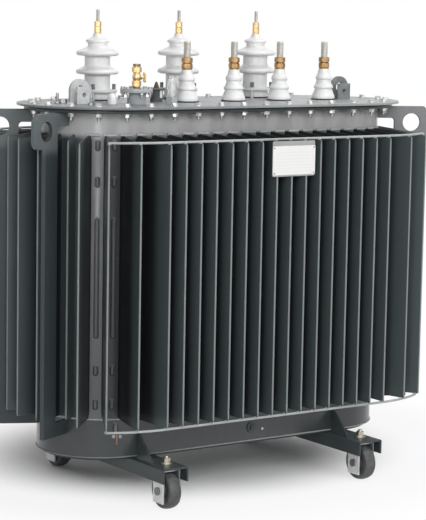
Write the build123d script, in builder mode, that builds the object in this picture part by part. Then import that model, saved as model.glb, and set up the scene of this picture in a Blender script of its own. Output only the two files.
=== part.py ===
"""Oil-immersed distribution transformer: an oval finned tank on a wheeled undercarriage, with bushings on its cover.

Millimetres. +Z is up, -Y is the low-voltage front, +X runs to the right of someone facing the front.
The origin is on the ground, under the middle of the tank.
"""
import math
import os

from build123d import *

os.makedirs("parts", exist_ok=True)

# Clearances
SEAT_GAP = 0.3
RUN_GAP = 0.08
SIDE_PLAY = 5.0

# Undercarriage
TRACK = 660.0
WHEEL_DIAMETER = 100.0
WHEEL_WIDTH = 35.0
WHEEL_SETBACK = 34.0
WHEEL_HUB_DIAMETER = 34.0
WHEEL_RIM_DEPTH = 13.0
WHEEL_RECESS = 6.0
WHEEL_CROWN = 3.0
AXLE_DIAMETER = 14.0
AXLE_HEAD_DIAMETER = 22.0
AXLE_HEAD = 4.0
FORK_SHEET = 5.0
FORK_WIDTH = 48.0
FORK_FOOT = 32.0
FORK_TAIL = 72.0
BEAM_WIDTH = 80.0
BEAM_DEPTH = 40.0
BEAM_SHEET = 5.0
BEAM_LENGTH = 640.0
BEAM_FILLET = 4.0
GUSSET_SHEET = 6.0
GUSSET_HEIGHT = 65.0
GUSSET_REACH = 78.0
GUSSET_TOE = 6.0
GUSSET_INSET = 8.0

# Tank
TANK_STRAIGHT = 727.5
TANK_RADIUS = 175.0
BOTTOM_INSET = 12.0
BOTTOM_SHEET = 8.0
SKIRT_HEIGHT = 106.0
FIN_HEIGHT = 746.0
COLLAR_HEIGHT = 72.0
FLANGE_WIDTH = 40.0
FLANGE_SHEET = 8.0
GASKET_SHEET = 3.0
GASKET_INSET = 3.0
COVER_SHEET = 6.0
COVER_OVERHANG = 20.0

# Cooling fins
FINS_STRAIGHT = 16
FINS_FANNED = 2
FIN_FAN_STEP = 14.4
FIN_SHEET = 7.0
FIN_DEPTH = 165.0
CORNER_FIN_DEPTH = 125.0
LUG_FIN_DEPTH = 35.0
END_FIN_DEPTH = 88.0
END_FIN_STEP = 18.0
FIN_ROUND = 5.0
FIN_RISE = 14.0
ROD_DIAMETER = 6.5
ROD_INSET = 12.0

# Lifting lugs
LUG_ANGLE = 64.0
LUG_SHEET = 12.0
LUG_REACH = 160.0
LUG_HOLE_DIAMETER = 52.0
LUG_HOLE_REACH = 105.0
LUG_HOLE_DROP = 47.0
LUG_HEAD_HEIGHT = 92.0
LUG_NECK_HEIGHT = 35.0
LUG_NECK_ROUND = 10.0
LUG_CHAMFER = 18.0
LUG_BAR_INNER = 54.0
LUG_BAR_OUTER = 112.0
LUG_BAR_FOOT = 63.0
LUG_FOOT_HEIGHT = 38.0
LUG_ROUND = 22.0

# High-voltage bushings
HV_COUNT = 3
HV_PITCH = 268.5
HV_MIDDLE_X = -35.0
HV_Y = 134.0
HV_CORE_DIAMETER = 71.0
HV_BASE_DIAMETER = 78.0
HV_BASE_HEIGHT = 20.0
HV_SHED_DIAMETER = 118.0
HV_SHED_LIP = 7.0
HV_SHED_SAG = 2.0
HV_LOWER_SHED = 71.0
HV_UPPER_SHED = 122.0
HV_NECK_DIAMETER = 46.0
HV_NECK_HEIGHT = 145.0
HV_CAP_DIAMETER = 65.0
HV_CAP_HEIGHT = 158.0
HV_TOP_DIAMETER = 24.0
HV_HEIGHT = 181.0
HV_NUT_WIDTH = 17.0
HV_NUT_HEIGHT = 34.0
HV_STUD_DIAMETER = 10.0
HV_STUD_HEIGHT = 32.0
CLAMP_SHEET = 7.0
CLAMP_RIM = 3.0
CLAMP_STUDS = 4
CLAMP_STUD_DIAMETER = 10.0
CLAMP_STUD_MARGIN = 1.5
CLAMP_STUD_RISE = 16.0

# Low-voltage bushings
LV_COUNT = 4
LV_PITCH = 158.7
LV_MIDDLE_X = 130.0
LV_Y = -20.0
LV_BASE_DIAMETER = 66.0
LV_BASE_HEIGHT = 9.0
LV_BODY_DIAMETER = 47.0
LV_SHED_DIAMETER = 56.0
LV_SHED_HEIGHT = 30.0
LV_SHED_LIP = 7.0
LV_NECK_DIAMETER = 41.0
LV_CAP_DIAMETER = 46.0
LV_CAP_HEIGHT = 55.0
LV_CAP_LIP = 10.0
LV_TOP_DIAMETER = 30.0
LV_HEIGHT = 86.0
LV_NUT_WIDTH = 27.0
LV_NUT_HEIGHT = 34.0
LV_STUD_DIAMETER = 20.0
LV_STUD_HEIGHT = 44.0
BUSHING_GASKET = 3.0
BUSHING_GASKET_RIM = 2.0

# Filler, tap changer and oil gauge
FILLER_X = -306.0
FILLER_Y = -74.0
FILLER_DIAMETER = 50.0
FILLER_HEIGHT = 32.0
FILLER_FLANGE_DIAMETER = 88.0
FILLER_FLANGE_SHEET = 10.0
VALVE_DIAMETER = 22.0
VALVE_WAIST_DIAMETER = 17.0
VALVE_HEIGHT = 66.0
VALVE_STEM_HEIGHT = 30.0
VALVE_STEM_DIAMETER = 6.0
VALVE_STEM_BORE = 9.0
VALVE_BOSS_DIAMETER = 13.0
VALVE_BOSS_REACH = 15.0
WING_REACH = 23.0
WING_SHEET = 4.0
WING_LENGTH = 28.0
WING_WIDTH = 10.0
TAP_X = -182.0
TAP_Y = 20.0
TAP_DIAMETER = 34.0
TAP_HEIGHT = 33.0
TAP_DISC_DIAMETER = 52.0
TAP_DISC_SHEET = 4.0
TAP_KNOB_DIAMETER = 18.0
TAP_KNOB_HEIGHT = 18.0
GAUGE_X = -210.0
GAUGE_Y = -100.0
GAUGE_BASE_DIAMETER = 34.0
GAUGE_BASE_HEIGHT = 20.0
GAUGE_DIAMETER = 24.0
GAUGE_HEIGHT = 57.0

# Cover lifting eyes
EYE_CLEARANCE = 5.95
EYE_WIDTH = 62.0
EYE_SHANK = 4.0
EYE_SHEET = 10.0
EYE_HOLE_DIAMETER = 26.0
EYE_EAR_WIDTH = 44.0
EYE_EAR_HEIGHT = 46.0
EYE_EAR_SHEET = 5.0
EYE_EAR_HOLE_DIAMETER = 12.0
EYE_EAR_GAP = 16.0

# Heights worked out from the sizes above
AXLE_Z = WHEEL_DIAMETER / 2
FORK_TOP = WHEEL_DIAMETER + SIDE_PLAY + FORK_SHEET
BEAM_TOP = FORK_TOP + BEAM_SHEET
TANK_FLOOR = BEAM_TOP + BOTTOM_SHEET
FIN_LOW = TANK_FLOOR + SKIRT_HEIGHT
FIN_HIGH = FIN_LOW + FIN_HEIGHT
FLANGE_LOW = FIN_HIGH + COLLAR_HEIGHT
FLANGE_HIGH = FLANGE_LOW + FLANGE_SHEET
COVER_LOW = FLANGE_HIGH + GASKET_SHEET
COVER_HIGH = COVER_LOW + COVER_SHEET
BUSHING_SEAT = COVER_HIGH + BUSHING_GASKET

# Plan sizes worked out from the sizes above
WHEEL_BASE = BEAM_LENGTH - 2 * WHEEL_SETBACK
FLANGE_RADIUS = TANK_RADIUS + FLANGE_WIDTH
COVER_RADIUS = FLANGE_RADIUS + COVER_OVERHANG
FIN_PITCH = TANK_STRAIGHT / (FINS_STRAIGHT - 1)
END_X = TANK_STRAIGHT / 2
FORK_GAP = WHEEL_WIDTH + 2 * SIDE_PLAY
FORK_OUTER = FORK_GAP + 2 * FORK_SHEET
CLAMP_STUD_CIRCLE = HV_BASE_DIAMETER + 2 * (BUSHING_GASKET_RIM + CLAMP_STUD_MARGIN) + CLAMP_STUD_DIAMETER
CLAMP_DIAMETER = CLAMP_STUD_CIRCLE + CLAMP_STUD_DIAMETER + 2 * CLAMP_RIM
EYE_CENTRE = EYE_SHANK + EYE_WIDTH / 2
LV_LAST_X = LV_MIDDLE_X + (LV_COUNT - 1) / 2 * LV_PITCH
EYE_X = LV_LAST_X + LV_BASE_DIAMETER / 2 + BUSHING_GASKET_RIM + EYE_CLEARANCE + EYE_WIDTH / 2
BEAM_SHIFT = BEAM_WIDTH / 2 - BEAM_SHEET - SEAT_GAP - FORK_OUTER / 2

ENDS = (("left", -1), ("right", 1))
FACES = (("front", -1), ("back", 1))


def keep(builder, node):
    """Labels a finished piece and writes it as one STEP file."""
    builder.part.label = node
    export_step(builder.part, f"parts/{node}.step")


def outward_plane(end, face, angle, reach):
    """Upright plane at one end of the tank whose X axis points straight out of the wall.

    The angle is measured from the front or back face, round the end's half circle, and the plane's origin
    lies at the given distance from that circle's axis. Its Y axis is up.
    """
    turn = math.radians(angle)
    out = Vector(end * math.sin(turn), face * math.cos(turn), 0)
    return Plane(
        origin=Vector(end * END_X, 0, 0) + out * reach,
        x_dir=out,
        z_dir=out.cross(Vector(0, 0, 1)),
    )


def straight_plane(x, face):
    """Upright plane across the tank's straight side at x, with its X axis pointing straight out."""
    out = Vector(0, face, 0)
    return Plane(
        origin=(x, face * TANK_RADIUS, 0),
        x_dir=out,
        z_dir=out.cross(Vector(0, 0, 1)),
    )


def fin_side(depth):
    """Side view of one fin: its outer corners are rounded and its top edge rises towards the wall."""
    with BuildSketch() as side:
        with BuildLine():
            Line((0, FIN_LOW), (depth - FIN_ROUND, FIN_LOW))
            RadiusArc((depth - FIN_ROUND, FIN_LOW), (depth, FIN_LOW + FIN_ROUND), -FIN_ROUND)
            Line((depth, FIN_LOW + FIN_ROUND), (depth, FIN_HIGH - FIN_ROUND))
            RadiusArc((depth, FIN_HIGH - FIN_ROUND), (depth - FIN_ROUND, FIN_HIGH), -FIN_ROUND)
            Polyline((depth - FIN_ROUND, FIN_HIGH), (0, FIN_HIGH + FIN_RISE), (0, FIN_LOW))
        make_face()
    return side.sketch


# Tank shell, closed and sealed, with its floor plate
with BuildPart() as bottom_plate:
    with BuildSketch(Plane.XY.offset(BEAM_TOP)):
        SlotCenterToCenter(TANK_STRAIGHT, 2 * (TANK_RADIUS - BOTTOM_INSET))
    extrude(amount=BOTTOM_SHEET)
keep(bottom_plate, "bottom_plate")

with BuildPart() as tank_body:
    with BuildSketch(Plane.XY.offset(TANK_FLOOR)):
        SlotCenterToCenter(TANK_STRAIGHT, 2 * TANK_RADIUS)
    extrude(amount=FLANGE_HIGH - TANK_FLOOR)
keep(tank_body, "tank_body")

# Top flange, gasket and cover
with BuildPart() as top_flange:
    with BuildSketch(Plane.XY.offset(FLANGE_LOW)):
        SlotCenterToCenter(TANK_STRAIGHT, 2 * FLANGE_RADIUS)
        SlotCenterToCenter(TANK_STRAIGHT, 2 * (TANK_RADIUS + SEAT_GAP), mode=Mode.SUBTRACT)
    extrude(amount=FLANGE_SHEET)
keep(top_flange, "top_flange")

with BuildPart() as cover_gasket:
    with BuildSketch(Plane.XY.offset(FLANGE_HIGH)):
        SlotCenterToCenter(TANK_STRAIGHT, 2 * (FLANGE_RADIUS - GASKET_INSET))
    extrude(amount=GASKET_SHEET)
keep(cover_gasket, "cover_gasket")

with BuildPart() as cover:
    with BuildSketch(Plane.XY.offset(COVER_LOW)):
        SlotCenterToCenter(TANK_STRAIGHT, 2 * COVER_RADIUS)
    extrude(amount=COVER_SHEET)
keep(cover, "cover")

# Deep fins of the two long faces, fanned out where the wall starts to turn
for face_name, face in FACES:
    with BuildPart() as long_fins:
        for place in range(FINS_STRAIGHT):
            with BuildSketch(straight_plane(place * FIN_PITCH - END_X, face)):
                add(fin_side(FIN_DEPTH))
            extrude(amount=FIN_SHEET / 2, both=True)
        for end_name, end in ENDS:
            for step in range(1, FINS_FANNED + 1):
                with BuildSketch(outward_plane(end, face, step * FIN_FAN_STEP, TANK_RADIUS + SEAT_GAP)):
                    add(fin_side(FIN_DEPTH - SEAT_GAP))
                extrude(amount=FIN_SHEET / 2, both=True)
    keep(long_fins, f"{face_name}_fins")

# Shorter fins round each end, lower still beside the lifting lugs
CORNER_FINS = (
    ((FINS_FANNED + 1) * FIN_FAN_STEP, CORNER_FIN_DEPTH),
    ((FINS_FANNED + 2) * FIN_FAN_STEP, LUG_FIN_DEPTH),
    (90 - END_FIN_STEP, END_FIN_DEPTH),
)
for end_name, end in ENDS:
    with BuildPart() as end_fins:
        for face_name, face in FACES:
            for angle, depth in CORNER_FINS:
                with BuildSketch(outward_plane(end, face, angle, TANK_RADIUS + SEAT_GAP)):
                    add(fin_side(depth))
                extrude(amount=FIN_SHEET / 2, both=True)
        with BuildSketch(outward_plane(end, 1, 90, TANK_RADIUS + SEAT_GAP)):
            add(fin_side(END_FIN_DEPTH))
        extrude(amount=FIN_SHEET / 2, both=True)
    keep(end_fins, f"{end_name}_end_fins")

# Round rods that tie the fins' outer corners together, under and over each long face
ROD_RADIUS_IN_PLAN = TANK_RADIUS + FIN_DEPTH - ROD_INSET
ROD_HEIGHTS = (
    FIN_LOW - SEAT_GAP - ROD_DIAMETER / 2,
    FIN_HIGH + FIN_RISE * ROD_INSET / FIN_DEPTH + SEAT_GAP + ROD_DIAMETER / 2,
)
for face_name, face in FACES:
    with BuildPart() as rods:
        for height in ROD_HEIGHTS:
            with BuildLine(Plane.XY.offset(height)) as route:
                CenterArc((-END_X, 0), ROD_RADIUS_IN_PLAN, face * 90 + face * FINS_FANNED * FIN_FAN_STEP,
                          -face * FINS_FANNED * FIN_FAN_STEP)
                Line((-END_X, face * ROD_RADIUS_IN_PLAN), (END_X, face * ROD_RADIUS_IN_PLAN))
                CenterArc((END_X, 0), ROD_RADIUS_IN_PLAN, face * 90, -face * FINS_FANNED * FIN_FAN_STEP)
            with BuildSketch(Plane(origin=route.wire() @ 0, z_dir=route.wire() % 0)):
                Circle(ROD_DIAMETER / 2)
            sweep(path=route.wire())
    keep(rods, f"{face_name}_fin_rods")

# Lifting lugs: an eye plate under the flange, carried down to the skirt by a bar
LUG_TOP = FLANGE_LOW - SEAT_GAP
LUG_LOW = TANK_FLOOR + LUG_BAR_FOOT
HEAD_LOW = LUG_TOP - LUG_HEAD_HEIGHT
NECK_LOW = LUG_TOP - LUG_NECK_HEIGHT
for face_name, face in FACES:
    for end_name, end in ENDS:
        with BuildPart() as lug:
            with BuildSketch(outward_plane(end, face, LUG_ANGLE, TANK_RADIUS)):
                with BuildLine():
                    Polyline(
                        (SEAT_GAP, NECK_LOW),
                        (SEAT_GAP, LUG_TOP),
                        (LUG_REACH - LUG_CHAMFER, LUG_TOP),
                        (LUG_REACH, LUG_TOP - LUG_CHAMFER),
                        (LUG_REACH, HEAD_LOW + LUG_ROUND),
                    )
                    RadiusArc((LUG_REACH, HEAD_LOW + LUG_ROUND), (LUG_REACH - LUG_ROUND, HEAD_LOW), LUG_ROUND)
                    Polyline(
                        (LUG_REACH - LUG_ROUND, HEAD_LOW),
                        (LUG_BAR_OUTER, HEAD_LOW),
                        (LUG_BAR_OUTER, LUG_LOW),
                        (SEAT_GAP, LUG_LOW),
                        (SEAT_GAP, LUG_LOW + LUG_FOOT_HEIGHT),
                        (LUG_BAR_INNER, LUG_LOW + LUG_FOOT_HEIGHT),
                        (LUG_BAR_INNER, NECK_LOW - LUG_NECK_ROUND),
                    )
                    RadiusArc(
                        (LUG_BAR_INNER, NECK_LOW - LUG_NECK_ROUND),
                        (LUG_BAR_INNER - LUG_NECK_ROUND, NECK_LOW),
                        -LUG_NECK_ROUND,
                    )
                    Line((LUG_BAR_INNER - LUG_NECK_ROUND, NECK_LOW), (SEAT_GAP, NECK_LOW))
                make_face()
                with Locations((LUG_HOLE_REACH, LUG_TOP - LUG_HOLE_DROP)):
                    Circle(LUG_HOLE_DIAMETER / 2, mode=Mode.SUBTRACT)
            extrude(amount=LUG_SHEET / 2, both=True)
        keep(lug, f"lifting_lug_{face_name}_{end_name}")

# Channel beams under the tank, each with a gusset up to the skirt at both faces
for end_name, end in ENDS:
    beam_x = end * TRACK / 2 + BEAM_SHIFT
    with BuildPart() as beam:
        with BuildSketch(Plane.XZ):
            with Locations((beam_x, BEAM_TOP - BEAM_DEPTH / 2)):
                Rectangle(BEAM_WIDTH, BEAM_DEPTH)
            with Locations((beam_x, BEAM_TOP - BEAM_SHEET - BEAM_DEPTH / 2)):
                Rectangle(BEAM_WIDTH - 2 * BEAM_SHEET, BEAM_DEPTH, mode=Mode.SUBTRACT)
        extrude(amount=BEAM_LENGTH / 2, both=True)
        fillet(beam.edges().filter_by(Axis.Y).group_by(Axis.Z)[-1], BEAM_FILLET)
        for face_name, face in FACES:
            gusset_x = beam_x - BEAM_WIDTH / 2 + GUSSET_INSET + GUSSET_SHEET / 2
            with BuildSketch(straight_plane(gusset_x, face)):
                with BuildLine():
                    Polyline(
                        (SEAT_GAP, BEAM_TOP),
                        (GUSSET_REACH, BEAM_TOP),
                        (GUSSET_REACH, BEAM_TOP + GUSSET_TOE),
                        (SEAT_GAP + GUSSET_TOE, TANK_FLOOR + GUSSET_HEIGHT),
                        (SEAT_GAP, TANK_FLOOR + GUSSET_HEIGHT),
                        close=True,
                    )
                make_face()
            extrude(amount=GUSSET_SHEET / 2, both=True)
    keep(beam, f"{end_name}_beam")

# Wheel forks, axles and wheels, one set under each end of each beam
for face_name, face in FACES:
    for end_name, end in ENDS:
        wheel_x = end * TRACK / 2
        wheel_y = face * WHEEL_BASE / 2
        across = Plane(origin=(wheel_x, wheel_y, 0), x_dir=(1, 0, 0), z_dir=(0, -1, 0))
        along = Plane(origin=(wheel_x, wheel_y, 0), x_dir=(0, 1, 0), z_dir=(1, 0, 0))
        axle_line = Axis((wheel_x, wheel_y, AXLE_Z), (1, 0, 0))

        with BuildPart() as fork:
            with BuildSketch(across):
                with Locations((0, (FORK_TOP + AXLE_Z - FORK_FOOT) / 2)):
                    Rectangle(FORK_OUTER, FORK_TOP - AXLE_Z + FORK_FOOT)
                with Locations((0, (FORK_TOP - FORK_SHEET + AXLE_Z - FORK_FOOT) / 2)):
                    Rectangle(FORK_GAP, FORK_TOP - FORK_SHEET - AXLE_Z + FORK_FOOT, mode=Mode.SUBTRACT)
            extrude(amount=FORK_WIDTH / 2, both=True)
            with BuildSketch(Plane.XY.offset(FORK_TOP - FORK_SHEET)):
                with Locations((wheel_x, wheel_y - face * FORK_TAIL / 2)):
                    Rectangle(FORK_OUTER, FORK_TAIL)
            extrude(amount=FORK_SHEET)
            with BuildSketch(along):
                with Locations((0, AXLE_Z)):
                    Circle(AXLE_DIAMETER / 2 + SEAT_GAP)
            extrude(amount=FORK_OUTER, both=True, mode=Mode.SUBTRACT)
        keep(fork, f"wheel_fork_{face_name}_{end_name}")

        with BuildPart() as axle:
            with BuildSketch(along):
                with Locations((0, AXLE_Z)):
                    Circle(AXLE_DIAMETER / 2)
            extrude(amount=FORK_OUTER / 2 + SEAT_GAP, both=True)
            for side in (-1, 1):
                with BuildSketch(along.offset(side * (FORK_OUTER / 2 + SEAT_GAP))):
                    with Locations((0, AXLE_Z)):
                        Circle(AXLE_HEAD_DIAMETER / 2)
                extrude(amount=side * AXLE_HEAD)
        keep(axle, f"axle_{face_name}_{end_name}")

        with BuildPart() as wheel:
            with BuildSketch(across):
                with BuildLine():
                    rim_r = WHEEL_DIAMETER / 2 - WHEEL_RIM_DEPTH
                    half = WHEEL_WIDTH / 2
                    shoulder = AXLE_Z + WHEEL_DIAMETER / 2 - WHEEL_CROWN
                    bore = AXLE_Z + AXLE_DIAMETER / 2 + RUN_GAP
                    hub = AXLE_Z + WHEEL_HUB_DIAMETER / 2
                    ThreePointArc((-half, shoulder), (0, AXLE_Z + WHEEL_DIAMETER / 2), (half, shoulder))
                    Polyline(
                        (half, shoulder),
                        (half, AXLE_Z + rim_r),
                        (half - WHEEL_RECESS, AXLE_Z + rim_r),
                        (half - WHEEL_RECESS, hub),
                        (half, hub),
                        (half, bore),
                        (-half, bore),
                        (-half, hub),
                        (-half + WHEEL_RECESS, hub),
                        (-half + WHEEL_RECESS, AXLE_Z + rim_r),
                        (-half, AXLE_Z + rim_r),
                        (-half, shoulder),
                    )
                make_face()
            revolve(axis=axle_line)
        keep(wheel, f"wheel_{face_name}_{end_name}")

# High-voltage bushings at the back of the cover
HV_PLACES = [(HV_MIDDLE_X + (n - (HV_COUNT - 1) / 2) * HV_PITCH, HV_Y) for n in range(HV_COUNT)]
for number, (x, y) in enumerate(HV_PLACES, start=1):
    with BuildPart() as hv_insulator:
        with BuildSketch(Plane(origin=(x, y, BUSHING_SEAT), x_dir=(1, 0, 0), z_dir=(0, -1, 0))):
            with BuildLine():
                core = HV_CORE_DIAMETER / 2
                shed = HV_SHED_DIAMETER / 2
                Polyline(
                    (0, 0),
                    (HV_BASE_DIAMETER / 2, 0),
                    (HV_BASE_DIAMETER / 2, HV_BASE_HEIGHT),
                    (core, HV_BASE_HEIGHT),
                    (core, HV_LOWER_SHED - HV_SHED_LIP / 2),
                    (shed, HV_LOWER_SHED),
                    (shed, HV_LOWER_SHED + HV_SHED_LIP),
                )
                ThreePointArc(
                    (shed, HV_LOWER_SHED + HV_SHED_LIP),
                    ((shed + core) / 2 - HV_SHED_SAG, HV_LOWER_SHED + 2 * HV_SHED_LIP),
                    (core, HV_LOWER_SHED + 4 * HV_SHED_LIP),
                )
                Polyline(
                    (core, HV_LOWER_SHED + 4 * HV_SHED_LIP),
                    (core, HV_UPPER_SHED - HV_SHED_LIP / 2),
                    (shed, HV_UPPER_SHED),
                    (shed, HV_UPPER_SHED + HV_SHED_LIP),
                )
                ThreePointArc(
                    (shed, HV_UPPER_SHED + HV_SHED_LIP),
                    ((shed + HV_NECK_DIAMETER / 2) / 2 - HV_SHED_SAG,
                     (HV_UPPER_SHED + HV_SHED_LIP + HV_NECK_HEIGHT) / 2 - HV_SHED_SAG / 2),
                    (HV_NECK_DIAMETER / 2, HV_NECK_HEIGHT),
                )
                Polyline(
                    (HV_NECK_DIAMETER / 2, HV_NECK_HEIGHT),
                    (HV_NECK_DIAMETER / 2, HV_CAP_HEIGHT - HV_SHED_LIP / 2),
                    (HV_CAP_DIAMETER / 2, HV_CAP_HEIGHT),
                    (HV_CAP_DIAMETER / 2, HV_CAP_HEIGHT + HV_SHED_LIP / 2),
                    (HV_TOP_DIAMETER / 2, (HV_CAP_HEIGHT + 2 * HV_HEIGHT) / 3),
                    (HV_TOP_DIAMETER / 2, HV_HEIGHT),
                    (0, HV_HEIGHT),
                    (0, 0),
                )
            make_face()
        revolve(axis=Axis((x, y, 0), (0, 0, 1)))
    keep(hv_insulator, f"hv_insulator_{number}")

with BuildPart() as hv_clamps:
    for x, y in HV_PLACES:
        with BuildSketch(Plane.XY.offset(BUSHING_SEAT + HV_BASE_HEIGHT)):
            with Locations((x, y)):
                Circle(CLAMP_DIAMETER / 2)
                Circle(HV_CORE_DIAMETER / 2 + SEAT_GAP, mode=Mode.SUBTRACT)
        extrude(amount=CLAMP_SHEET)
        with BuildSketch(Plane.XY.offset(COVER_HIGH)):
            with Locations((x, y)):
                with PolarLocations(CLAMP_STUD_CIRCLE / 2, CLAMP_STUDS, start_angle=45):
                    Circle(CLAMP_STUD_DIAMETER / 2)
        extrude(amount=BUSHING_GASKET + HV_BASE_HEIGHT + CLAMP_SHEET + CLAMP_STUD_RISE)
keep(hv_clamps, "hv_clamps")

with BuildPart() as hv_terminals:
    for x, y in HV_PLACES:
        with BuildSketch(Plane.XY.offset(BUSHING_SEAT + HV_HEIGHT)):
            with Locations((x, y)):
                RegularPolygon(HV_NUT_WIDTH / 2, 6, major_radius=False)
        extrude(amount=HV_NUT_HEIGHT)
        with BuildSketch(Plane.XY.offset(BUSHING_SEAT + HV_HEIGHT + HV_NUT_HEIGHT)):
            with Locations((x, y)):
                Circle(HV_STUD_DIAMETER / 2)
        extrude(amount=HV_STUD_HEIGHT)
keep(hv_terminals, "hv_terminals")

# Low-voltage bushings along the front of the cover
LV_PLACES = [(LV_MIDDLE_X + (n - (LV_COUNT - 1) / 2) * LV_PITCH, LV_Y) for n in range(LV_COUNT)]
for number, (x, y) in enumerate(LV_PLACES, start=1):
    with BuildPart() as lv_insulator:
        with BuildSketch(Plane(origin=(x, y, BUSHING_SEAT), x_dir=(1, 0, 0), z_dir=(0, -1, 0))):
            with BuildLine():
                Polyline(
                    (0, 0),
                    (LV_BASE_DIAMETER / 2, 0),
                    (LV_BASE_DIAMETER / 2, LV_BASE_HEIGHT),
                    (LV_BODY_DIAMETER / 2, LV_SHED_HEIGHT),
                    (LV_SHED_DIAMETER / 2, LV_SHED_HEIGHT),
                    (LV_SHED_DIAMETER / 2, LV_SHED_HEIGHT + LV_SHED_LIP),
                    (LV_NECK_DIAMETER / 2, LV_CAP_HEIGHT),
                    (LV_CAP_DIAMETER / 2, LV_CAP_HEIGHT),
                    (LV_CAP_DIAMETER / 2, LV_CAP_HEIGHT + LV_CAP_LIP),
                    (LV_TOP_DIAMETER / 2, LV_HEIGHT),
                    (0, LV_HEIGHT),
                    (0, 0),
                )
            make_face()
        revolve(axis=Axis((x, y, 0), (0, 0, 1)))
    keep(lv_insulator, f"lv_insulator_{number}")

with BuildPart() as lv_terminals:
    for x, y in LV_PLACES:
        with BuildSketch(Plane.XY.offset(BUSHING_SEAT + LV_HEIGHT)):
            with Locations((x, y)):
                RegularPolygon(LV_NUT_WIDTH / 2, 6, major_radius=False)
        extrude(amount=LV_NUT_HEIGHT)
        with BuildSketch(Plane.XY.offset(BUSHING_SEAT + LV_HEIGHT + LV_NUT_HEIGHT)):
            with Locations((x, y)):
                Circle(LV_STUD_DIAMETER / 2)
        extrude(amount=LV_STUD_HEIGHT)
keep(lv_terminals, "lv_terminals")

# Rubber rings under every bushing
with BuildPart() as bushing_gaskets:
    for places, diameter in ((HV_PLACES, HV_BASE_DIAMETER), (LV_PLACES, LV_BASE_DIAMETER)):
        with BuildSketch(Plane.XY.offset(COVER_HIGH)):
            with Locations(*places):
                Circle(diameter / 2 + BUSHING_GASKET_RIM)
        extrude(amount=BUSHING_GASKET)
keep(bushing_gaskets, "bushing_gaskets")

# Oil filler: a flanged neck with a small brass valve on its lid
with BuildPart() as filler_neck:
    with BuildSketch(Plane.XY.offset(COVER_HIGH)):
        with Locations((FILLER_X, FILLER_Y)):
            Circle(FILLER_DIAMETER / 2)
    extrude(amount=FILLER_HEIGHT)
    with BuildSketch(Plane.XY.offset(COVER_HIGH + FILLER_HEIGHT)):
        with Locations((FILLER_X, FILLER_Y)):
            Circle(FILLER_FLANGE_DIAMETER / 2)
    extrude(amount=FILLER_FLANGE_SHEET)
keep(filler_neck, "filler_neck")

VALVE_LOW = COVER_HIGH + FILLER_HEIGHT + FILLER_FLANGE_SHEET
STEM_Z = VALVE_LOW + VALVE_STEM_HEIGHT
stem_plane = Plane(origin=(FILLER_X, FILLER_Y, STEM_Z), x_dir=(0, 1, 0), z_dir=(1, 0, 0))
with BuildPart() as filler_valve:
    with BuildSketch(Plane(origin=(FILLER_X, FILLER_Y, VALVE_LOW), x_dir=(1, 0, 0), z_dir=(0, -1, 0))):
        with BuildLine():
            wide = VALVE_DIAMETER / 2
            waist = VALVE_WAIST_DIAMETER / 2
            Polyline(
                (0, 0),
                (waist, 0),
                (wide, VALVE_HEIGHT * 0.12),
                (wide, VALVE_HEIGHT * 0.62),
                (waist, VALVE_HEIGHT * 0.68),
                (wide, VALVE_HEIGHT * 0.76),
                (wide, VALVE_HEIGHT * 0.88),
                (waist, VALVE_HEIGHT * 0.94),
                (waist, VALVE_HEIGHT),
                (0, VALVE_HEIGHT),
                (0, 0),
            )
        make_face()
    revolve(axis=Axis((FILLER_X, FILLER_Y, 0), (0, 0, 1)))
    with BuildSketch(stem_plane):
        Circle(VALVE_BOSS_DIAMETER / 2)
    extrude(amount=VALVE_BOSS_REACH)
    with BuildSketch(stem_plane.offset(VALVE_BOSS_REACH - VALVE_STEM_BORE)):
        Circle(VALVE_STEM_DIAMETER / 2 + RUN_GAP)
    extrude(amount=VALVE_STEM_BORE, mode=Mode.SUBTRACT)
keep(filler_valve, "filler_valve")

with BuildPart() as valve_handle:
    with BuildSketch(stem_plane.offset(VALVE_BOSS_REACH - VALVE_STEM_BORE + SEAT_GAP)):
        Circle(VALVE_STEM_DIAMETER / 2)
    extrude(amount=WING_REACH - VALVE_BOSS_REACH + VALVE_STEM_BORE - SEAT_GAP)
    with BuildSketch(stem_plane.offset(WING_REACH)):
        SlotOverall(WING_LENGTH, WING_WIDTH, rotation=90)
    extrude(amount=WING_SHEET)
keep(valve_handle, "valve_handle")

# Tap changer drive and oil gauge beside the middle high-voltage bushing
with BuildPart() as tap_changer:
    with BuildSketch(Plane.XY.offset(COVER_HIGH)):
        with Locations((TAP_X, TAP_Y)):
            Circle(TAP_DIAMETER / 2)
    extrude(amount=TAP_HEIGHT)
    with BuildSketch(Plane.XY.offset(COVER_HIGH + TAP_HEIGHT)):
        with Locations((TAP_X, TAP_Y)):
            Circle(TAP_DISC_DIAMETER / 2)
    extrude(amount=TAP_DISC_SHEET)
    with BuildSketch(Plane.XY.offset(COVER_HIGH + TAP_HEIGHT + TAP_DISC_SHEET)):
        with Locations((TAP_X, TAP_Y)):
            Circle(TAP_KNOB_DIAMETER / 2)
    extrude(amount=TAP_KNOB_HEIGHT, taper=20)
keep(tap_changer, "tap_changer")

with BuildPart() as gauge_base:
    with BuildSketch(Plane.XY.offset(COVER_HIGH)):
        with Locations((GAUGE_X, GAUGE_Y)):
            RegularPolygon(GAUGE_BASE_DIAMETER / 2, 6)
    extrude(amount=GAUGE_BASE_HEIGHT)
keep(gauge_base, "gauge_base")

with BuildPart() as gauge_glass:
    with BuildSketch(Plane.XY.offset(COVER_HIGH + GAUGE_BASE_HEIGHT)):
        with Locations((GAUGE_X, GAUGE_Y)):
            Circle(GAUGE_DIAMETER / 2)
    extrude(amount=GAUGE_HEIGHT)
    fillet(gauge_glass.edges().group_by(Axis.Z)[-1], GAUGE_DIAMETER / 4)
keep(gauge_glass, "gauge_glass")

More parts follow.
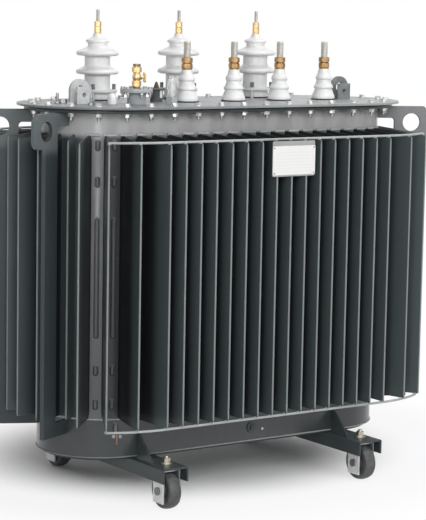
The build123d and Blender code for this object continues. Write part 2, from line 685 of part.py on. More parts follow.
# Lifting eyes of the cover: a round-topped plate and a small ear in front of it
with BuildPart() as cover_eyes:
    for end_name, end in ENDS:
        with BuildSketch(Plane.XZ):
            with Locations((end * EYE_X, COVER_HIGH + EYE_CENTRE / 2)):
                Rectangle(EYE_WIDTH, EYE_CENTRE)
            with Locations((end * EYE_X, COVER_HIGH + EYE_CENTRE)):
                Circle(EYE_WIDTH / 2)
                Circle(EYE_HOLE_DIAMETER / 2, mode=Mode.SUBTRACT)
        extrude(amount=EYE_SHEET / 2, both=True)
        with BuildSketch(Plane.XZ.offset(EYE_SHEET / 2 + EYE_EAR_GAP)):
            with Locations((end * EYE_X, COVER_HIGH + EYE_EAR_HEIGHT / 2)):
                Rectangle(EYE_EAR_WIDTH, EYE_EAR_HEIGHT)
            with Locations((end * EYE_X, COVER_HIGH + EYE_EAR_HEIGHT - EYE_EAR_WIDTH / 2)):
                Circle(EYE_EAR_HOLE_DIAMETER / 2, mode=Mode.SUBTRACT)
        extrude(amount=EYE_EAR_SHEET)
keep(cover_eyes, "cover_eyes")
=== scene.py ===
"""Looks of an oil-immersed distribution transformer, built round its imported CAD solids.

Shapes are in millimetres until a piece is made. Materials, lamps and the camera are in metres.
+Z is up, -Y is the low-voltage front, +X is to the right of someone facing it.
"""

import bmesh
import bpy
import numpy as np
from mathutils import Matrix, Vector


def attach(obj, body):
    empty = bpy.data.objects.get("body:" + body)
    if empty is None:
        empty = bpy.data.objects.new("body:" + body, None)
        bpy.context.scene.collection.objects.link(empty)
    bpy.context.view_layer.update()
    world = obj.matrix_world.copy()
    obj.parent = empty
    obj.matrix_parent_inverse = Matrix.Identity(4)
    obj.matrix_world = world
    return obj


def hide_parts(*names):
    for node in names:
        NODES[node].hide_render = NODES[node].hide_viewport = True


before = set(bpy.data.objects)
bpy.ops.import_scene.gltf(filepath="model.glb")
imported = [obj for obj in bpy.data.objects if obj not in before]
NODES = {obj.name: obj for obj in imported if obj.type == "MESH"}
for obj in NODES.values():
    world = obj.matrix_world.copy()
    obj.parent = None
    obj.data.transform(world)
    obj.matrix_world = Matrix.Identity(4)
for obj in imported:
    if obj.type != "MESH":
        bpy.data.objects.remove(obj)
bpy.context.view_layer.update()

FACES = (("front", -1), ("back", 1))
ENDS = (("left", -1), ("right", 1))

# Sizes that the pieces share with the CAD solids: tank and cover
END_X = 363.75
WALL = 175.0
BEAM_TOP = 115.0
SKIRT_LOW = 123.0
FLANGE_LOW = 1047.0
COVER_TOP = 1064.0
BOLT_LINE = 197.0
LUG_HOLE = (615.41, 122.74, 999.7)

# Fins and their rods
FIN_LOW = 229.0
FIN_HIGH = 975.0
FIN_COUNT = 16
FIN_PITCH = 48.5
FIN_DEPTH = 165.0
FIN_HALF = 3.5
FIN_RISE = 14.0
NOSE_HALF = 2.6
FAN_STEP = 14.4
FAN_FINS = (FAN_STEP, 2 * FAN_STEP)
FAN_VALLEYS = (0.5 * FAN_STEP, 1.5 * FAN_STEP, 2.5 * FAN_STEP)
ROD_LINE = 328.0
FIN_X = np.arange(FIN_COUNT) * FIN_PITCH - END_X
VALLEY_X = (np.arange(FIN_COUNT - 1) + 0.5) * FIN_PITCH - END_X

# Angle from the front and depth of the fins round an end, the back half being the front half mirrored
CORNER_FINS = ((3 * FAN_STEP, 125.0), (4 * FAN_STEP, 35.0), (5 * FAN_STEP, 88.0))
END_FINS = (*CORNER_FINS, (90.0, 88.0), *((180.0 - angle, depth) for angle, depth in reversed(CORNER_FINS)))

# Bushings, filler and wheels
SEAT = 1067.0
HV_PLACES = ((-303.5, 134.0), (-35.0, 134.0), (233.5, 134.0))
LV_PLACES = ((-108.05, -20.0), (50.65, -20.0), (209.35, -20.0), (368.05, -20.0))
HV_RISE = 181.0
LV_RISE = 86.0
FILLER = (-306.0, -74.0)
WHEEL_X = 330.0
WHEEL_Y = 286.0
WHEEL_RADIUS = 50.0

EVEN = (1.0, 1.0, 1.0)
UP = np.array((0.0, 0.0, 1.0))


class Value:
    """A shader socket that can be added, multiplied and divided, each step becoming a Math node."""

    def __init__(self, owner, socket):
        self.owner = owner
        self.socket = socket

    def math(self, operation, *others):
        sockets = dict(enumerate((self, *others)))
        return self.owner.node("ShaderNodeMath", {"operation": operation}, sockets)

    def __add__(self, other):
        return self.math("ADD", other)

    __radd__ = __add__

    def __mul__(self, other):
        return self.math("MULTIPLY", other)

    __rmul__ = __mul__

    def __sub__(self, other):
        return self.math("SUBTRACT", other)

    def __rsub__(self, other):
        return (self * -1.0).math("ADD", other)

    def __truediv__(self, other):
        return self.math("DIVIDE", other)

    def __rtruediv__(self, other):
        return self.math("POWER", -1.0).math("MULTIPLY", other)


class Nodes:
    """A node tree of a material or the world, to which one method adds every node."""

    def __init__(self, tree):
        self.tree = tree

    def node(self, kind, settings, sockets, output=0):
        """Adds a node: its settings are set first, then the values or links of its sockets."""
        made = self.tree.nodes.new(kind)
        for key, value in settings.items():
            setattr(made, key, value)
        for key, value in sockets.items():
            self.feed(made.inputs[key], value)
        return Value(self, made.outputs[output])

    def feed(self, socket, value):
        if isinstance(value, Value):
            self.tree.links.new(value.socket, socket)
        else:
            socket.default_value = value

    def seen(self):
        """One for what the camera sees, also in a reflection or through glass, and nought for other light."""
        names = ("Is Camera Ray", "Is Glossy Ray", "Is Transmission Ray")
        camera, glossy, through = (self.node("ShaderNodeLightPath", {}, {}, name) for name in names)
        return camera.math("MAXIMUM", glossy).math("MAXIMUM", through)


class Look(Nodes):
    """One procedural material: nodes round a Principled shader, on which the plain values are set.

    Places that it reads are in metres.
    """

    def __init__(self, name, **plain):
        self.material = bpy.data.materials.new(name)
        self.material.use_nodes = True
        super().__init__(self.material.node_tree)
        self.shader = self.tree.nodes["Principled BSDF"]
        for socket, value in plain.items():
            self.shader.inputs[socket.replace("_", " ")].default_value = value

    def give(self, socket, value):
        self.feed(self.shader.inputs[socket], value)

    def place(self):
        return self.node("ShaderNodeTexCoord", {}, {}, "Object")

    def part_of(self, vector, letter):
        return self.node("ShaderNodeSeparateXYZ", {}, {0: vector}, letter)

    def axis(self, letter):
        """One of the Object coordinates."""
        return self.part_of(self.place(), letter)

    def up(self):
        """How far a surface faces the sky, from 0 to 1."""
        normal = self.node("ShaderNodeNewGeometry", {}, {}, "Normal")
        return self.part_of(normal, "Z").math("MAXIMUM", 0.0)

    def attribute(self, name):
        return self.node("ShaderNodeAttribute", {"attribute_name": name}, {}, "Fac")

    def noise(self, scale, detail=3.0, stretch=EVEN):
        spot = self.node("ShaderNodeVectorMath", {"operation": "MULTIPLY"}, {0: self.place(), 1: stretch})
        return self.node("ShaderNodeTexNoise", {}, {"Vector": spot, "Scale": scale, "Detail": detail})

    def step(self, value, start, end, low=0.0, high=1.0):
        """Smooth rise of a value from low at start to high at end."""
        sockets = {"Value": value, "From Min": start, "From Max": end, "To Min": low, "To Max": high}
        return self.node("ShaderNodeMapRange", {"interpolation_type": "SMOOTHSTEP"}, sockets)

    def mix(self, share, first, second):
        colours = {0: share}
        for key, colour in ((6, first), (7, second)):
            colours[key] = colour if isinstance(colour, Value) else (*colour, 1.0)
        return self.node("ShaderNodeMix", {"data_type": "RGBA"}, colours, 2)

    def fade(self, value, start, end, first, second):
        """The first colour up to a value's start, the second from its end."""
        return self.mix(self.step(value, start, end), first, second)

    def cloudy(self, first, second, scale, detail=3.0, stretch=EVEN):
        """Noise that drifts between two colours."""
        return self.mix(self.noise(scale, detail, stretch), first, second)

    def bump(self, height, strength, distance):
        sockets = {"Strength": strength, "Distance": distance, "Height": height}
        self.give("Normal", self.node("ShaderNodeBump", {}, sockets))


class Enamel(Look):
    """Sprayed satin enamel before its colour: cloudy gloss, dust on what faces the sky, orange-peel bump."""

    def __init__(self, name, roughness=0.34, gloss=0.3):
        super().__init__(name, Specular_IOR_Level=gloss)
        self.cloud = self.noise(7.0, 4.0)
        self.settled = self.step(self.up(), 0.55, 0.98) * self.step(self.noise(30.0, 5.0), 0.25, 0.8)
        sheen = self.step(self.cloud, 0.2, 0.8, roughness - 0.07, roughness + 0.07)
        self.give("Roughness", sheen + self.settled * 0.15)
        self.bump(self.noise(420.0, 2.0), 0.12, 0.0006)

    def coat(self, dark, light, dust):
        """Colours it: two tones in clouds and upright runs, with the dust over them."""
        runs = self.noise(22.0, 3.0, (1.0, 1.0, 0.12))
        colour = self.fade(self.cloud * 0.65 + runs * 0.35, 0.32, 0.68, dark, light)
        self.give("Base Color", self.mix(self.settled * 0.5, colour, dust))


DARK = (0.04, 0.051, 0.055)
tank_paint = Enamel("tank_enamel")
tank_paint.coat(DARK, (0.058, 0.072, 0.076), (0.16, 0.165, 0.16))
seam_paint = Enamel("seam_enamel", 0.35, 0.4)
seam_paint.coat((0.288, 0.324, 0.324), (0.48, 0.516, 0.516), (0.48, 0.504, 0.504))
# The pale coat of the tie rods and their welds is a painted highlight of the light they catch
rod_paint = Enamel("rod_enamel", 0.35, 0.4)
rod_paint.coat((0.312, 0.336, 0.336), (0.432, 0.456, 0.456), (0.456, 0.48, 0.48))
grey_paint = Enamel("fitting_enamel", 0.4, 0.5)
grey_paint.coat((0.36, 0.384, 0.402), (0.504, 0.528, 0.54), (0.6, 0.612, 0.6))
strip_paint = Enamel("strip_enamel", 0.5, 0.3)
strip_paint.coat((0.3, 0.3, 0.29), (0.4, 0.4, 0.385), (0.42, 0.42, 0.4))

# The wall is dark at the skirt under the fins and pale at the collar over them; the collar's pale tone is a
# painted reflection of the front light. Between the fins its tone goes by how far it has turned: nought where
# the straight face stops, one at the middle of the end, and the pale band partway round is a painted
# highlight in the corner valleys
wall_paint = Enamel("wall_enamel", 0.22, 0.5)
wall_height = wall_paint.axis("Z")
turned = (wall_paint.axis("X").math("ABSOLUTE") - 0.001 * END_X) / (0.001 * WALL)
# Painted highlight: the pale band in the corner valleys
corner_valley_painted_highlight = wall_paint.cloudy((0.12, 0.127, 0.134), (0.156, 0.163, 0.17), 9.0)
skirt_tone = wall_paint.cloudy((0.036, 0.041, 0.044), (0.062, 0.068, 0.071), 14.0, 5.0, (1.0, 1.0, 0.4))
collar_marks = wall_paint.noise(26.0, 5.0, (1.0, 1.0, 0.2))
# Painted reflection: the collar's pale tone
collar_painted_reflection = wall_paint.fade(collar_marks, 0.36, 0.64, (0.335, 0.334, 0.335), (0.4, 0.4, 0.402))
wall_tone = wall_paint.fade(turned, 0.44, 0.5, (0.046, 0.048, 0.052), corner_valley_painted_highlight)
wall_tone = wall_paint.fade(turned, 0.72, 0.8, wall_tone, DARK)
wall_tone = wall_paint.fade(wall_height, 0.222, 0.232, skirt_tone, wall_tone)
wall_paint.give("Base Color", wall_paint.fade(wall_height, 0.975, 0.995, wall_tone, collar_painted_reflection))

# Fin noses carry a paler line, a painted highlight, that the attribute named edge marks; the faces darken
# towards the wall in painted shade
fin_paint = Enamel("fin_enamel")
fin_edge = fin_paint.attribute("edge")
# Painted highlight along the fin noses
nose_highlight = fin_paint.step(fin_edge, 0.55, 0.8) * fin_paint.step(fin_paint.noise(14.0), 0.2, 0.6, 0.85, 1.0)
fin_tone = fin_paint.cloudy((0.062, 0.079, 0.083), (0.084, 0.104, 0.107), 5.0, 3.0, (1.0, 1.0, 0.3))
# Painted shade on the fin faces towards the wall
fin_tone = fin_paint.fade(fin_edge, 0.28, 0.47, (0.017, 0.02, 0.022), fin_tone)
fin_paint.give("Base Color", fin_paint.mix(nose_highlight, fin_tone, (0.235, 0.26, 0.262)))

# The bead is painted paler than the wall as a painted highlight, and its foot is outlined in dark as painted
# shade below it
bead_paint = Enamel("bead_enamel")
# Painted highlight: the bead is paler than the wall round it
bead_painted_highlight = bead_paint.cloudy((0.144, 0.149, 0.156), (0.204, 0.21, 0.218), 9.0)
# Painted shade: the dark outline round the bead's foot
bead_paint.give("Base Color", bead_paint.mix(bead_paint.attribute("edge"), bead_painted_highlight, (0.018, 0.019, 0.02)))

# A lug's head is painted paler than the bar below it, and paler still at the right end, as painted light;
# inside its hole it is dark, a painted shade
lug_paint = Enamel("lug_enamel")
lug_place = [lug_paint.axis(letter) for letter in "XYZ"]
bar_tone = lug_paint.cloudy((0.041, 0.052, 0.055), (0.055, 0.068, 0.072), 12.0, 4.0)
# Painted light on the lug heads, more of it on the right
left_head_painted_light = lug_paint.cloudy((0.096, 0.114, 0.119), (0.138, 0.158, 0.163), 12.0, 4.0)
right_head_painted_light = lug_paint.cloudy((0.192, 0.197, 0.204), (0.264, 0.266, 0.276), 12.0, 4.0)
lug_head_painted_light = lug_paint.fade(lug_place[0], -0.1, 0.1, left_head_painted_light, right_head_painted_light)
away_x, away_y, away_z = (value.math("ABSOLUTE") - 0.001 * hole for value, hole in zip(lug_place, LUG_HOLE))
from_hole = (away_x * away_x + away_y * away_y + away_z * away_z).math("SQRT")
# Painted shade inside the lug's hole
lug_head_painted_light = lug_paint.fade(from_hole, 0.0272, 0.0268, lug_head_painted_light, (0.03, 0.032, 0.034))
lug_paint.give("Base Color", lug_paint.fade(lug_place[2], 0.93, 0.96, bar_tone, lug_head_painted_light))

# The cover gets paler from left to right, a painted reflection
cover_paint = Enamel("cover_enamel", 0.3, 0.5)
# Painted reflection: the cover is painted paler towards the right
cover_left = cover_paint.cloudy((0.108, 0.12, 0.13), (0.192, 0.206, 0.216), 9.0, 5.0)
cover_right_painted_reflection = cover_paint.cloudy((0.24, 0.252, 0.259), (0.372, 0.386, 0.396), 9.0, 5.0)
cover_paint.give("Base Color", cover_paint.fade(cover_paint.axis("X"), -0.55, 0.25, cover_left, cover_right_painted_reflection))

# The left cover eye and its ear are pale, the right ones dark: painted light on the left and painted shade on
# the right, over one coat
eye_paint = Enamel("eye_enamel", 0.4, 0.5)
# Painted light on the left eye, painted shade on the right one
left_eye_painted_light = eye_paint.cloudy((0.38, 0.39, 0.4), (0.72, 0.73, 0.73), 60.0, 4.0)
right_eye_painted_shade = eye_paint.cloudy((0.08, 0.09, 0.094), (0.3, 0.31, 0.315), 60.0, 4.0)
eye_paint.give("Base Color", eye_paint.fade(eye_paint.axis("X"), -0.1, 0.1, left_eye_painted_light, right_eye_painted_shade))

# The tap changer has a brown knob over its dark drive
drive_paint = Enamel("drive_enamel", 0.4, 0.4)
drive_tone = drive_paint.cloudy((0.06, 0.066, 0.07), (0.16, 0.168, 0.172), 60.0, 4.0)
drive_tone = drive_paint.fade(drive_paint.axis("Z"), 1.1005, 1.102, drive_tone, (0.07, 0.045, 0.022))
drive_paint.give("Base Color", drive_tone)

# The white clamp rings carry dark studs and nuts over their upper face
clamp_paint = Enamel("clamp_enamel", 0.4, 0.4)
clamp_tone = clamp_paint.cloudy((0.7, 0.71, 0.71), (0.78, 0.785, 0.78), 30.0)
clamp_tone = clamp_paint.fade(clamp_paint.axis("Z"), 1.0949, 1.0952, clamp_tone, (0.12, 0.12, 0.12))
clamp_paint.give("Base Color", clamp_tone)

# White glazed porcelain: faint cream clouds, tiny specks, a slightly wavy glaze
porcelain = Look("glazed_porcelain", Coat_Weight=0.12, Coat_Roughness=0.1)
glaze = porcelain.fade(porcelain.noise(35.0, 2.0), 0.3, 0.7, (0.79, 0.795, 0.79), (0.85, 0.855, 0.85))
specks = porcelain.step(porcelain.noise(900.0, 2.0), 0.74, 0.8)
porcelain.give("Base Color", porcelain.mix(specks * 0.5, glaze, (0.62, 0.6, 0.56)))
porcelain.give("Roughness", porcelain.step(porcelain.noise(60.0), 0.2, 0.8, 0.28, 0.38))
porcelain.bump(porcelain.noise(70.0, 1.0), 0.05, 0.001)


def metal(name, shade, stain, roughness, grain=EVEN, bare=1.0):
    """Bare or plated metal: stained in patches, with fine tool marks drawn out along one axis."""
    look = Look(name, Metallic=bare)
    patches = look.step(look.noise(120.0, 4.0), 0.35, 0.75)
    marks = look.noise(900.0, 2.0, grain)
    look.give("Base Color", look.mix(patches * 0.6, shade, stain))
    look.give("Roughness", look.step(marks, 0.2, 0.8, roughness - 0.08, roughness + 0.1))
    look.bump(marks, 0.1, 0.0004)
    return look


brass = metal("turned_brass", (0.68, 0.49, 0.25), (0.32, 0.2, 0.08), 0.3, (1.0, 1.0, 4.0))
red_brass = metal("cast_brass", (0.4, 0.25, 0.12), (0.13, 0.075, 0.035), 0.36, (1.0, 1.0, 4.0))
dark_brass = metal("stained_brass", (0.24, 0.17, 0.11), (0.12, 0.09, 0.07), 0.42)
tinned = metal("tinned_copper", (0.56, 0.54, 0.5), (0.44, 0.41, 0.37), 0.45, (1.0, 1.0, 5.0), 0.35)
zinc = metal("bright_zinc", (0.62, 0.62, 0.6), (0.42, 0.41, 0.38), 0.38)
yellow_zinc = metal("yellow_zinc", (0.62, 0.59, 0.5), (0.42, 0.34, 0.22), 0.4)
steel = metal("dark_steel", (0.32, 0.32, 0.33), (0.2, 0.2, 0.2), 0.38)
axle_steel = metal("axle_steel", (0.2, 0.2, 0.21), (0.09, 0.09, 0.09), 0.35, bare=0.7)

# Wheel forks: bright spangled sheet, with painted shade darkening the plate to the right of each wheel
galvanised = Look("galvanised_sheet", Metallic=0.35)
spangle = galvanised.node("ShaderNodeTexVoronoi", {}, {"Vector": galvanised.place(), "Scale": 130.0}, "Color")
grey = galvanised.node("ShaderNodeRGBToBW", {}, {0: spangle})
fork_x = galvanised.axis("X")
right_of_wheel = fork_x - fork_x.math("SIGN") * (0.001 * WHEEL_X)
spangled_tone = galvanised.mix(grey, (0.62, 0.63, 0.63), (0.8, 0.805, 0.8))
# Painted shade: the plate to the right of each wheel is painted dark
galvanised.give("Base Color", galvanised.fade(right_of_wheel, 0.004, 0.012, spangled_tone, (0.16, 0.165, 0.165)))
galvanised.give("Roughness", galvanised.step(grey, 0.2, 0.8, 0.38, 0.55))

rubber = Look("black_rubber", Roughness=0.7)
rubber.give("Base Color", rubber.cloudy((0.012, 0.012, 0.012), (0.03, 0.03, 0.03), 80.0))
rubber.bump(rubber.noise(500.0), 0.1, 0.0004)

tread = Look("wheel_polyamide", Specular_IOR_Level=0.4)
rub = tread.step(tread.noise(45.0, 4.0), 0.3, 0.75)
tread.give("Base Color", tread.mix(rub, (0.055, 0.056, 0.057), (0.11, 0.111, 0.112)))
tread.give("Roughness", tread.step(rub, 0.0, 1.0, 0.42, 0.58))
tread.bump(tread.noise(300.0, 3.0), 0.1, 0.0005)

glass = Look("clear_polycarbonate", Transmission_Weight=0.85, IOR=1.45)
glass.give("Base Color", glass.cloudy((0.88, 0.9, 0.89), (0.95, 0.96, 0.95), 40.0))
glass.give("Roughness", glass.step(glass.noise(50.0), 0.3, 0.7, 0.05, 0.12))

# The bare plate has ruled fields in faint grey, with nothing written in them
plate = Look("anodised_plate", Metallic=0.1)
plate_x = plate.axis("X")
plate_z = plate.axis("Z")
rows = ((plate_z - 0.885) / 0.0085).math("FRACT")
rule = plate.step((rows - 0.5).math("ABSOLUTE"), 0.42, 0.46)
within_sides = plate.step((plate_x - 0.03).math("ABSOLUTE"), 0.063, 0.062)
within_ends = plate.step((plate_z - 0.916).math("ABSOLUTE"), 0.033, 0.032)
ruled = rule * (within_sides * within_ends) * 0.5
plate.give("Base Color", plate.mix(ruled, (0.78, 0.78, 0.77), (0.6, 0.61, 0.61)))
plate.give("Roughness", plate.step(plate.noise(200.0, 2.0, (0.05, 1.0, 1.0)), 0.2, 0.8, 0.32, 0.45))


class Shape:
    """Points, quads and edge marks of one piece while it is put together from parts.

    A part is its points and quads, and its marks where it has them.
    """

    def __init__(self):
        self.points = []
        self.faces = []
        self.edges = []
        self.count = 0

    def add(self, points, faces, edge=None):
        """One part as it stands; where it has no marks they are nought."""
        points = np.asarray(points, float).reshape(-1, 3)
        self.points.append(points)
        self.faces.append(faces + self.count)
        self.edges.append(np.zeros(len(points)) if edge is None else edge)
        self.count += len(points)

    def scatter(self, part, turns, places):
        """Copies of one part, each turned by a 3 by 3 matrix and moved to its place."""
        points, faces, *marks = part
        places = np.asarray(places, float).reshape(-1, 1, 3)
        for copy in np.einsum("nij,kj->nki", turns, points.reshape(-1, 3)) + places:
            self.add(copy, faces, *marks)

    def stand(self, part, places):
        """Copies of one part at those places, unturned."""
        count = np.size(places) // 3
        self.scatter(part, np.tile(np.eye(3), (count, 1, 1)), places)

    def aim(self, part, out, places):
        """Copies of one part whose +Z is turned to an outward horizontal direction, with +Y kept up."""
        out = np.asarray(out, float) / np.linalg.norm(out)
        turn = np.stack((np.cross(UP, out), UP, out), -1)
        self.scatter(part, np.tile(turn, (np.size(places) // 3, 1, 1)), places)


def grid_faces(rows, columns, wrap):
    """Quads of a grid of points counted row by row; wrap joins the last column to the first."""
    r, c = np.meshgrid(np.arange(rows - 1), np.arange(columns if wrap else columns - 1), indexing="ij")
    n = (c + 1) % columns
    quads = (r * columns + c, r * columns + n, (r + 1) * columns + n, (r + 1) * columns + c)
    return np.stack(quads, -1).reshape(-1, 4)


def piece(name, shape, look, body="transformer", stands_for=(), crease=38.0):
    """Makes one object: points that coincide are merged, so that seams and poles close."""
    mesh = bpy.data.meshes.new(name)
    points = np.concatenate(shape.points) * 0.001
    mesh.from_pydata(points.tolist(), [], np.concatenate(shape.faces).tolist())
    mark = mesh.attributes.new("edge", "FLOAT", "POINT")
    mark.data.foreach_set("value", np.concatenate(shape.edges).astype(np.float32))
    work = bmesh.new()
    work.from_mesh(mesh)
    bmesh.ops.remove_doubles(work, verts=work.verts, dist=2e-6)
    work.to_mesh(mesh)
    work.free()
    mesh.shade_smooth()
    mesh.set_sharp_from_angle(angle=np.radians(crease))
    made = bpy.data.objects.new(name, mesh)
    bpy.context.scene.collection.objects.link(made)
    made.data.materials.append(look.material)
    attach(made, body)
    if stands_for:
        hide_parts(*stands_for)


def smooth(t):
    """Smooth rise from 0 to 1: three times the square less twice the cube."""
    t = np.clip(t, 0, 1)
    return t * t * (3 - 2 * t)


def full_turn(segments):
    """Even angles over one turn."""
    return np.arange(segments) * 2 * np.pi / segments


def rounded(corners):
    """A line through (radius, height, rounding) corners, each corner replaced by a curve of that rounding.

    The curve is a parabola: it leaves one side and meets the other at that distance from the corner.
    """
    t = np.linspace(0, 1, 6)[:, None]
    line = []
    for i, (x, y, cut) in enumerate(corners):
        here = np.array((x, y), float)
        if cut <= 0 or i in (0, len(corners) - 1):
            line.append(here[None])
            continue
        before = np.array(corners[i - 1][:2], float) - here
        after = np.array(corners[i + 1][:2], float) - here
        reach = min(cut, 0.48 * np.linalg.norm(before), 0.48 * np.linalg.norm(after))
        start = here + before / np.linalg.norm(before) * reach
        end = here + after / np.linalg.norm(after) * reach
        line.append((1 - t) ** 2 * start + 2 * t * (1 - t) * here + t ** 2 * end)
    return np.concatenate(line)


def lathe(profile, segments):
    """Surface of revolution about +Z: radius and height from the profile, angle over one turn."""
    angle = full_turn(segments)
    radius = profile[:, :1]
    height = np.repeat(profile[:, 1:2], segments, 1)
    points = np.stack((radius * np.cos(angle), radius * np.sin(angle), height), -1)
    return points, grid_faces(len(profile), segments, True)


def drum(radius, height, ease=0.6, segments=32, foot_ease=None):
    """A plain turned disc, washer or pin with eased edges."""
    foot_ease = ease if foot_ease is None else foot_ease
    profile = ((0, 0, 0), (radius, 0, foot_ease), (radius, height, ease), (0, height, 0))
    return lathe(rounded(profile), segments)


def hex_head(width, height):
    """A hexagon bolt head or nut: the radius follows the flats, and a cone cuts the corners at both faces."""
    segments = 36
    crown = 0.92
    angle = full_turn(segments)
    flat = (angle + np.pi / 6) % (np.pi / 3) - np.pi / 6
    corner = width / 2 / np.cos(flat)
    circle = np.full(segments, width / 2 * crown)
    nil = np.zeros(segments)
    drop = (corner - circle) * 0.5
    radii = np.stack((nil, circle, corner, corner, circle, nil))
    heights = np.stack((nil, nil, drop, height - drop, nil + height, nil + height))
    points = np.stack((radii * np.cos(angle), radii * np.sin(angle), heights), -1)
    return points, grid_faces(len(radii), segments, True)


def thread(radius, height, pitch, depth, segments=24):
    """A threaded stud: radius less depth times a triangle wave of height over pitch less the turn.

    Its top is tapered, and both ends are closed.
    """
    rows = int(height / pitch * 4) + 1
    z = np.linspace(0, height, rows)[:, None]
    angle = full_turn(segments)
    wave = np.abs(((z / pitch - angle / (2 * np.pi)) % 1.0) * 2 - 1)
    taper = np.clip((height - z) / (1.2 * pitch), 0, 1)
    r = (radius - depth * wave) * (0.8 + 0.2 * taper)
    body = np.stack((r * np.cos(angle), r * np.sin(angle), np.repeat(z, segments, 1)), -1)
    low = np.zeros((1, segments, 3))
    return np.concatenate((low, body, low + height * UP)), grid_faces(rows + 2, segments, True)


def tube(path, radius, ripple=0.0, ring=False):
    """A round section carried along a path in the horizontal plane, closed to a point at both ends.

    The section turns with the path's own direction; ripple swells the radius in a whole number of even beads.
    A ring is a path that ends where it starts: it has no ends to close.
    """
    segments = 8
    ahead = np.gradient(path, axis=0)
    ahead /= np.linalg.norm(ahead, axis=1)[:, None]
    side = np.stack((ahead[:, 1], -ahead[:, 0], np.zeros(len(path))), -1)
    angle = full_turn(segments)
    run = np.concatenate(((0.0,), np.cumsum(np.linalg.norm(np.diff(path, axis=0), axis=1))))
    beats = 2 * np.pi * round(run[-1] / (2 * np.pi)) / run[-1]
    r = radius * (1 + ripple * np.sin(run * beats))[:, None, None]
    wall = path[:, None] + r * (np.cos(angle)[:, None] * side[:, None] + np.sin(angle)[:, None] * UP)
    if ring:
        return wall, grid_faces(len(path), segments, True)
    start = np.repeat(path[:1, None], segments, 1)
    end = np.repeat(path[-1:, None], segments, 1)
    return np.concatenate((start, wall, end)), grid_faces(len(path) + 2, segments, True)


def stadium(radius, run, z):
    """Points at a height on the tank's oval of that radius, by the distance run along it.

    The run starts at the middle of the front face and goes towards +X.
    """
    arc = np.pi * radius
    side = 2 * END_X
    s = np.asarray(run, float) % (2 * side + 2 * arc)
    turn = np.clip((s - END_X) / radius, 0, np.pi) + np.clip((s - END_X - arc - side) / radius, 0, np.pi)
    middle = np.where(s < END_X + arc, np.minimum(s, END_X), END_X - np.clip(s - END_X - arc, 0, side))
    back = s > END_X + arc + side
    middle = np.where(back, -END_X + np.clip(s - END_X - 2 * arc - side, 0, END_X), middle)
    return np.stack((middle + radius * np.sin(turn), -radius * np.cos(turn), np.full_like(s, z)), -1)


def turns_to(out):
    """Turning matrices whose local X axis is each outward direction, with Z kept up."""
    out = np.asarray(out, float).reshape(-1, 3)
    side = np.stack((-out[:, 1], out[:, 0], out[:, 2] * 0), -1)
    return np.stack((out, side, np.tile(UP, (len(out), 1))), -1)


def spun(angle):
    """Turning matrices about +Z by those angles."""
    cos, sin, nil = np.cos(angle), np.sin(angle), np.zeros(len(angle))
    rows = np.array(((cos, -sin, nil), (sin, cos, nil), (nil, nil, nil + 1)))
    return np.moveaxis(rows, -1, 0)


def spots(places, z):
    """Points with those X and Y at one height."""
    return np.array([(x, y, z) for x, y in places])


def along_face(x, face, reach):
    """Points with those X along a straight face, that far from the tank's middle, and their directions."""
    nil = np.zeros(len(x))
    return np.stack((x, nil + face * reach, nil), -1), np.stack((nil, nil + face, nil), -1)


def round_end(end, face, angles):
    """Points on the wall round one end, at angles counted in degrees from a face, and their directions."""
    angle = np.radians(np.atleast_1d(angles))
    out = np.stack((end * np.sin(angle), face * np.cos(angle), 0 * angle), -1)
    return (end * END_X, 0.0, 0.0) + out * WALL, out


def round_corners(face, angles):
    """The same round both ends of a face."""
    left, right = (round_end(end, face, angles) for _, end in ENDS)
    return np.concatenate((left[0], right[0])), np.concatenate((left[1], right[1]))


def fin(depth, pale=0.0, fade=FIN_DEPTH):
    """One pressed fin that stands out along +X from the wall.

    The section runs out along one face, round a half-round nose and back along the other, and flares into the
    wall at its root. Near both ends the two faces pinch together to a closed seam, and the outer corner is
    round. The top edge rises towards the wall. The marks are one on the nose, where they carry a painted
    highlight;
    on the faces they fall from a half to nought over the length called fade, which starts at the length
    called pale from the edge, and so carry painted shade towards the wall.
    """
    tall = FIN_HIGH - FIN_LOW
    corner = 5.0
    corner_root = 20.0
    flank = np.concatenate(((-2.0, 0.0, 2.0, 5.0, 10.0, 18.0), np.linspace(28.0, depth - NOSE_HALF, 4)))
    nose = np.radians(np.array((2.0, 30.0, 60.0, 90.0)))
    taper = FIN_HALF + (NOSE_HALF - FIN_HALF) * np.clip(flank / depth, 0, 1)
    flare = 2.5 * np.exp(-np.maximum(flank, 0) / 4.0)
    x = np.concatenate((flank, depth - NOSE_HALF + NOSE_HALF * np.sin(nose)))
    half = np.concatenate((taper + flare, NOSE_HALF * np.cos(nose)))
    edge = np.concatenate((0.5 * np.clip(1 - (depth - flank - pale) / fade, 0, 1), np.ones(len(nose))))
    x = np.concatenate((x, x[-2::-1]))
    half = np.concatenate((-half, half[-2::-1]))
    edge = np.concatenate((edge, edge[-2::-1]))
    inset = np.array((0.0, 0.6, 1.2, 2.0, 3.0, 4.0, 5.5, 8.0, 12.0, 18.0, 28.0))
    up = np.concatenate((inset, np.linspace(60.0, tall - 60.0, 9), tall - inset[::-1]))
    near = np.minimum(up, tall - up)
    pinch = 0.5 * np.clip(near / 0.6, 0, 1) + 0.5 * smooth(near / 18.0)
    pull = corner - np.sqrt(corner ** 2 - np.clip(corner - near, 0, corner) ** 2)
    reach = np.clip((x - corner_root) / (depth - corner_root), 0, 1)
    out = x[None] - pull[:, None] * reach[None]
    across = half[None] * pinch[:, None]
    rise = FIN_RISE * (1 - np.clip(x / depth, 0, 1))[None] * smooth(up / tall)[:, None]
    points = np.stack((out, across, FIN_LOW + up[:, None] + rise), -1)
    return points, grid_faces(len(up), len(x), False), np.tile(edge, len(up))


